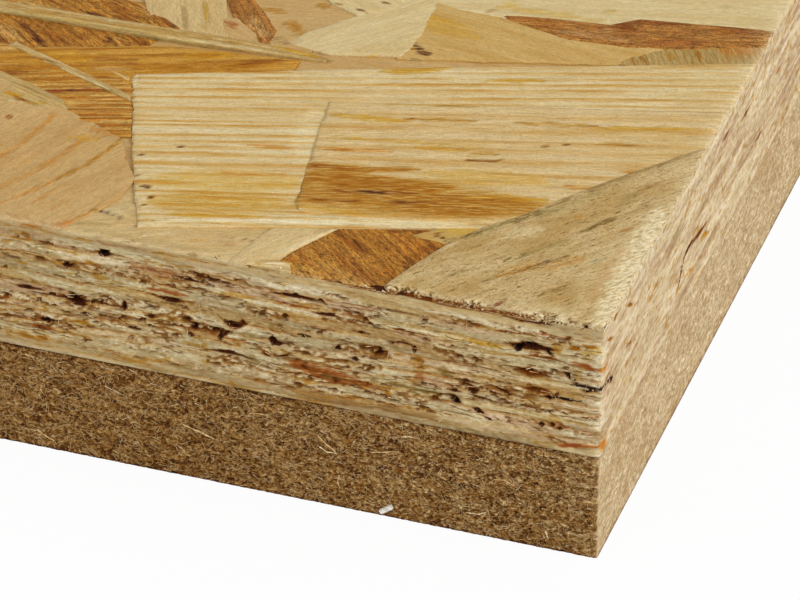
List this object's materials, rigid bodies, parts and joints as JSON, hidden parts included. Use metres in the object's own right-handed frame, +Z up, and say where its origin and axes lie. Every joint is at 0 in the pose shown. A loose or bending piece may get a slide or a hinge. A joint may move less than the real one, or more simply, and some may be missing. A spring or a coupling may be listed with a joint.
{
  "type": "strand board and wood fibre acoustic panel",
  "caption": "Flat acoustic floor panel: an oriented strand board bonded to a wood fibre board, sawn flush with square edges.",
  "frame": {"origin": "middle of the underside, which is the wood fibre board's lower face", "axes": "+X along the panel's length, +Y across its width, +Z up from the fibre board to the strand board"},
  "size_m": [1.2, 0.6, 0.027],
  "materials": {
    "strand_board": "pressed pine strands, unsanded, with a faint wax sheen",
    "wood_fibre": "matt brown wood fibre felt"
  },
  "bodies": {
    "root": {"strand_board": "strand_board", "wood_fibre_board": "wood_fibre"}
  },
  "joints": []
}
